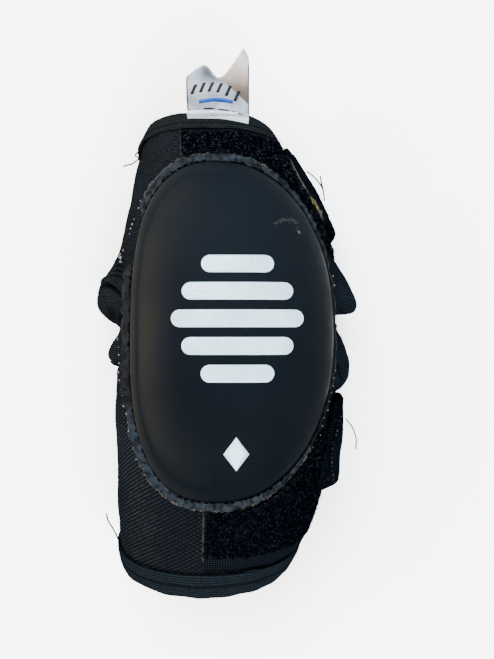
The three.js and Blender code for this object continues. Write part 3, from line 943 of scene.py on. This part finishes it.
welt_mesh = refined("cap_welt", 3, 0.3)
normals = [v.normal.copy() for v in welt_mesh.vertices]
shade = welt_mesh.attributes.new("shade", "FLOAT", "POINT").data
for i, (v, normal) in enumerate(zip(welt_mesh.vertices, normals)):
    # How deep the welt lies in painted shade at its sides
    shade_middle, shade_fade = SHADE_LEFT if v.co.x < 0 else SHADE_RIGHT
    shade[i].value = clamped((SHADE_REACH - abs(v.co.y / MM - shade_middle)) / shade_fade)
    tucked = math.exp(-(((v.co.y / MM - TUCK_Y) / TUCK_REACH) ** 4)) if v.co.x < 0 else 0.0
    x = (v.co.x / MM - cap_centre.x) / cap_half.x
    y = (v.co.y / MM - cap_centre.y) / cap_half.y
    round_about = math.atan2(y, x) * WELT_RADIUS
    edge = clamped((math.hypot(x, y) - 1) * 17)
    wander = noise.noise(Vector((round_about / 9, 0, 3)))
    pucker = math.sin(2 * math.pi * (round_about / PUCKER_PITCH + 1.2 * wander))
    rise = PUCKER_HEIGHT * pucker + 0.5 * noise.noise(v.co / (6 * MM)) - 0.6 * tucked
    out = Vector((x, y, 0)).normalized()
    v.co += normal * (rise * MM)
    v.co -= out * (edge * tucked * TUCK_WIDTH * MM)
    v.co += out * (edge * (0.5 * noise.noise(Vector((round_about / 3, 7, 1))) + 0.25 * pucker) * MM)
welt = show(welt_mesh, "welt", WELT, ["cap_welt"])
tops["cap_welt"] = tree_of(welt_mesh)

stitches = []
for place, ahead in walked(seam_line(STITCH_SHARE), STITCH_PITCH):
    x = place.x + random.gauss(0, 0.15)
    found = top_of([tops["cap_welt"]], x, place.y + random.gauss(0, 0.15))
    if found and random.random() > 0.2:
        length = STITCH_LENGTH * random.uniform(0.5, 1.25) * MM
        stitches.append(stitch(found[0], found[1], ahead, length, random.uniform(0.32, 0.5) * MM))
add_piece(stitches, "welt_stitches", SEAM)

# The pale frayed outer edge of the welt, above and below the cap

frayed = []
for step in walked(seam_line(1.0), 0.3):
    place = step[0]
    upper_left = place.y > FRAYED_BEYOND_Y and place.x < -8
    upper_tip = place.y > 0 and 14 < place.x < 24
    if place.y < -FRAYED_BEYOND_Y or upper_left or upper_tip:
        frayed.append(step)
below_welt = [tops[n] for n in ("cap_welt", "sleeve", "upper_loop_patch", "lower_loop_patch")]
add_piece(fibres(below_welt, frayed, 620, 0.9, 0.09, 0.35), "welt_fray", LINT)

# Needle holes that show pale beside the welt, and a curl of thread

holes = []
for row in NEEDLE_HOLES:
    for place, _ in walked(row["line"], row["pitch"]):
        found = top_of(below_welt, place.x + random.gauss(0, 0.25), place.y + random.gauss(0, 0.4))
        if found and random.random() > 0.1:
            holes.append(bead(found[0], found[1], row["size"] * random.uniform(0.6, 1.15) * MM))
curl = [(-54.5, 35.2, 0), (-55.8, 33.6, 0), (-53.8, 33.2, 0), (-55.2, 31.2, 0), (-53.6, 30.6, 0)]
curl_places = []
for place in smooth_line(curl, 18):
    spot, normal = top_of(below_welt, place.x, place.y)
    curl_places.append(spot + normal * 0.35 * MM)
holes.append(tube(curl_places, 0.35 * MM))
add_piece(holes, "needle_holes", PALE)

# The looped pile of the two patches


def pile(node, count, keep, inside=lambda x, y: True):
    """Small loops scattered over a piece wherever inside allows, given the place over the floor,
    and keep, given the place along the sleeve and a wander of the edge."""
    low, high = (Vector(corner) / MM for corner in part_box(node))
    loops = []
    for _ in range(count * 8):
        if len(loops) == count:
            break
        x = random.uniform(low.x, high.x)
        y = random.uniform(low.y, high.y)
        found = top_of([tops[node]], x, y) if inside(x, y) else None
        # Steep cloth shows more of itself than its plan does, so it keeps more of its tries.
        if not found or random.random() > 0.35 / max(found[1].z, 0.35):
            continue
        spot, normal = found
        if not keep(arm_place(spot)[0], 1.3 * noise.noise(Vector((x / 3, y / 3, 0)))):
            continue
        turn = random.uniform(0, 2 * math.pi)
        side = normal.orthogonal().normalized()
        way = side * math.cos(turn) + normal.cross(side) * math.sin(turn)
        lean = normal.cross(way) * random.uniform(-0.5, 0.5)
        half = random.uniform(*LOOP_HALF_WIDTH) * MM
        height = random.uniform(*LOOP_HEIGHT) * MM
        points = []
        for k in range(5):
            a = math.pi * k / 4
            up = math.sin(a) * height
            points.append(spot - way * half * math.cos(a) + normal * (up - 0.15 * MM) + lean * up)
        loops.append(tube(points, LOOP_RADIUS * MM, 3))
    return gathered(loops, node + "_loops")


def beside(line, x, y):
    """How far a place lies to the left of a line that runs down over the floor."""
    for (x1, y1), (x2, y2) in zip(line, line[1:]):
        if y2 <= y <= y1:
            return x1 + (x2 - x1) * (y1 - y) / (y1 - y2) - x
    return 1


upper_pile = pile(
    "upper_loop_patch",
    count=6000,
    keep=lambda along, wander: along < 216 + wander,
    inside=lambda x, y: beside(STRAP_END, x, y) > 0,
)
show(upper_pile, "upper_pile", UPPER_PILE)
lower_pile = pile("lower_loop_patch", count=7200, keep=lambda along, wander: along > 20 + wander)
show(lower_pile, "lower_pile", LOWER_PILE)

# The forearm strap's inner half is pile too, sewn down along a bowed line of pale stitches

strap_tree = [tops["forearm_strap"]]
strap_loops = pile(
    "forearm_strap",
    count=1900,
    keep=lambda along, wander: True,
    inside=lambda x, y: -85 < y < -42 and beside(STRAP_SEAM, x, y) > 0.3,
)
show(strap_loops, "strap_pile", LOWER_PILE)
sewn = []
for place, ahead in walked(STRAP_SEAM, 2.4):
    found = top_of(strap_tree, place.x, place.y)
    if found:
        sewn.append(stitch(found[0], found[1], ahead, 1.1 * MM * random.uniform(0.6, 1.2), 0.14 * MM))
add_piece(sewn, "strap_stitches", LINT)

# The folded seam at the left edge of each patch


def seam_strip(name, line, width):
    """A low round ribbon laid along a line over the floor."""
    trees = list(tops.values())
    rows = []
    for place in smooth_line([(x, y, 0) for x, y in line], 40):
        x = place.x + 0.6 * noise.noise(Vector((place.y / 4, 2, 0)))
        rows.append([(x + width * (k / 4 - 0.5), place.y) for k in range(5)])
    strip = laid(trees, rows, lambda over, along: 0.55 * math.sin(math.pi * along) - 0.1)
    add_piece([strip], name, SEAM_EDGE)


seam_strip("upper_patch_seam", [(-22.9, 101), (-22.7, 94), (-22.4, 84)], 1.1)
seam_strip("lower_patch_seam", [(-10.2, -93.6), (-10.4, -106), (-10.7, -121)], 1.3)

# The printed bars and the small printed mark on the cap

cap_top = [tops["elbow_cap"]]
prints = []
for bar in BARS:
    rows = []
    for i in range(33):
        reach = bar["half_length"] * math.sin(math.pi / 2 * (i / 16 - 1))
        over = max(abs(reach) - bar["half_length"] + BAR_HALF_THICKNESS, 0)
        wide = math.sqrt(max(BAR_HALF_THICKNESS**2 - over**2, 0.001))
        rows.append([(BAR_MIDDLE_X + reach, bar["y"] + wide * (1 - j / 6)) for j in range(13)])
    prints.append(laid(cap_top, rows, even(PRINT_LIFT), 0.1))
rows = []
for i in range(21):
    share = (i - 10) / 10.02
    wide = MARK_HALF_WIDTH * (1 - abs(share))
    y = MARK_MIDDLE[1] + MARK_HALF_HEIGHT * share
    rows.append([(MARK_MIDDLE[0] - wide + wide * j / 2, y) for j in range(5)])
prints.append(laid(cap_top, rows, even(PRINT_LIFT), 0.1))
add_piece(prints, "cap_print", PRINT)

# A scuff and a speck on the cap

scuff = fibres(cap_top, walked([(24.5, 46), (28, 48), (32, 48.5), (36, 47)], 0.4), 130, 2.2, 0.09, 0.5)
scuff += fibres(cap_top, walked([(32, 47), (36, 42)], 0.4), 25, 1.5, 0.07, 1.2)
add_piece(scuff, "cap_scuff", SCUFF)
spot, normal = top_of(cap_top, 36.3, 42.7)
add_piece([bead(spot, normal, 0.8 * MM)], "cap_speck", FRAY)

# The hanging loop, its folded foot, its stitches and its plain print

loop_mesh = refined("hanging_loop", 2, 0.6)
label = show(loop_mesh, "label", LABEL, ["hanging_loop"])
tops["hanging_loop"] = tree_of(loop_mesh)
foot_trees = [tops[n] for n in ("upper_hem", "upper_loop_patch", "sleeve", "hanging_loop")]
rows = []
for i in range(13):
    over = i / 12
    row = []
    for k in range(31):
        share = k / 30
        bow = 1.5 * share - 3.6 * share * share
        row.append((FOOT_LEFT + FOOT_WIDTH * share, FOOT_TOP + bow - FOOT_HEIGHT * over))
    rows.append(row)
strip = laid(foot_trees, rows, lambda over, along: 0.2 + 1.5 * math.sin(math.pi * over) ** 0.7, 0.2, 6)
foot = add_piece([strip], "label_foot", LABEL_FOOT)
tops["label_foot"] = tree_of(foot.data)

label_top = [tops["hanging_loop"], tops["label_foot"]]
dashes = []
for dash in LABEL_DASHES:
    x, y = dash["from"]
    found = top_of(label_top, x + DASH_LENGTH / 2, y + dash["rise"] / 2)
    ahead = Vector((DASH_LENGTH, dash["rise"], 0)).normalized()
    dashes.append(stitch(found[0], found[1], ahead, DASH_LENGTH * MM, 0.36 * MM))
add_piece(dashes, "label_stitches", LABEL_STITCH)

loop_top = [tops["hanging_loop"]]
strokes = []
for k in range(6):
    rows = []
    for i in range(5):
        x = STROKES_FROM[0] + STROKE_PITCH * k + 0.55 * i
        y = STROKES_FROM[1] + 1.1 * i + 0.35 * k * (5 - k) - 0.5 * k
        rows.append([(x + 0.8 * j, y) for j in (-1, 0, 1)])
    strokes.append(laid(loop_top, rows, even(0.06), 0.05))
add_piece(strokes, "label_strokes", LABEL_BLACK)
rows = []
for i in range(13):
    x = STRIPE_FROM[0] + STRIPE_LENGTH * i / 12
    y = STRIPE_FROM[1] + 0.8 * math.sin(math.pi * i / 12)
    rows.append([(x, y + 0.75 * j) for j in (-1, 0, 1)])
add_piece([laid(loop_top, rows, even(0.06), 0.05)], "label_stripe", LABEL_BLUE)

# The label's dark edges, on the outline that the loop shows from above

edge_parts = []
for side in (-1, 1):
    outline = []
    for i in range(40):
        y = 105.5 + 27 * i / 39
        across = [-22 + 36 * k / 159 for k in range(160)]
        on_label = [x for x in across if top_of(loop_top, x, y)]
        if on_label:
            x = (min(on_label) if side < 0 else max(on_label)) - 0.2 * side
            found = top_of(loop_top, x, y)
            if found:
                outline.append(found[0])
    edge_parts.append(tube(smooth_line(outline[:34], 40), 0.34 * MM))
add_piece(edge_parts, "label_edges", LABEL_EDGE)

# The frayed end of the upper strap, and the mark on it

strap_top = [tops[n] for n in ("upper_strap", "upper_loop_patch", "sleeve")]
strap_end = walked(STRAP_END, 0.3)
rows = []
for place, _ in strap_end:
    wide = 0.8 + 0.6 * noise.noise(Vector((place.y / 3, 1, 0)))
    wide *= clamped((place.y - 52) / 10, 0.15)
    rows.append([(place.x + wide * k / 4, place.y + 0.3 * k) for k in range(5)])
add_piece([laid(strap_top, rows, even(0.75))], "strap_end", FRAY)
add_piece(fibres(strap_top, strap_end, 420, 1.5, 0.09, 0.9), "strap_fray", FRAY)
rows = []
for place, _ in walked(STRAP_END, 1.0):
    rows.append([(place.x + 1.0 + 0.7 * k, place.y + 0.55 * k) for k in range(12)])
add_piece([laid(strap_top, rows, even(0.5))], "strap_flap", WEBBING)
rows = []
for i in range(6):
    share = i / 5
    wide = 1.1 * (1.3 - abs(share - 0.4))
    x, y = 44.4 + 3.4 * share, 64.8 - 6.6 * share
    rows.append([(x + j * wide, y + 0.35 * j) for j in (-1, 0, 1)])
add_piece([laid(strap_top, rows, even(1.0))], "strap_mark", YELLOW)

# Loose threads

for name, points in STRAY_THREADS.items():
    line = smooth_line([mm(*p) for p in points], 24)
    add_piece([tube(line, THREAD_RADIUS * MM)], name, SEAM)

# The floor, light and camera

floor_mesh = bpy.data.meshes.new("floor")
floor_mesh.from_pydata([(-3, -3, 0), (3, -3, 0), (3, 3, 0), (-3, 3, 0)], [], [(0, 1, 2, 3)])
floor = bpy.data.objects.new("floor", floor_mesh)
scene.collection.objects.link(floor)
floor_mesh.materials.append(plain("floor_white", (0.92, 0.92, 0.92), 0.9))

world = bpy.data.worlds.new("studio")
scene.world = world
world.use_nodes = True
world.node_tree.nodes["Background"].inputs["Color"].default_value = (1.0, 1.0, 1.0, 1)
world.node_tree.nodes["Background"].inputs["Strength"].default_value = 2.5


def softbox(name, place, size, power, colour):
    """A square light at a place in metres, turned to the pad."""
    light = bpy.data.lights.new(name, "AREA")
    light.size = size
    light.energy = power
    light.color = colour
    obj = bpy.data.objects.new(name, light)
    obj.location = place
    obj.rotation_mode = "QUATERNION"
    obj.rotation_quaternion = (-Vector(place)).to_track_quat("-Z", "Y")
    scene.collection.objects.link(obj)


softbox("window", (-0.3, 0.8, 1.3), size=0.9, power=90, colour=(0.85, 0.93, 1.0))
softbox("lamp", (-1.1, 0.1, 0.8), size=0.5, power=26, colour=(1.0, 0.66, 0.42))
softbox("room", (0.3, -0.8, 1.3), size=0.9, power=80, colour=(0.92, 0.96, 1.0))

camera_data = bpy.data.cameras.new("camera")
camera_data.lens = CAMERA_LENS
camera_data.sensor_width = 36
camera_data.clip_start = 0.01
camera = bpy.data.objects.new("camera", camera_data)
camera.location = mm(*CAMERA_PLACE)
scene.collection.objects.link(camera)
scene.camera = camera
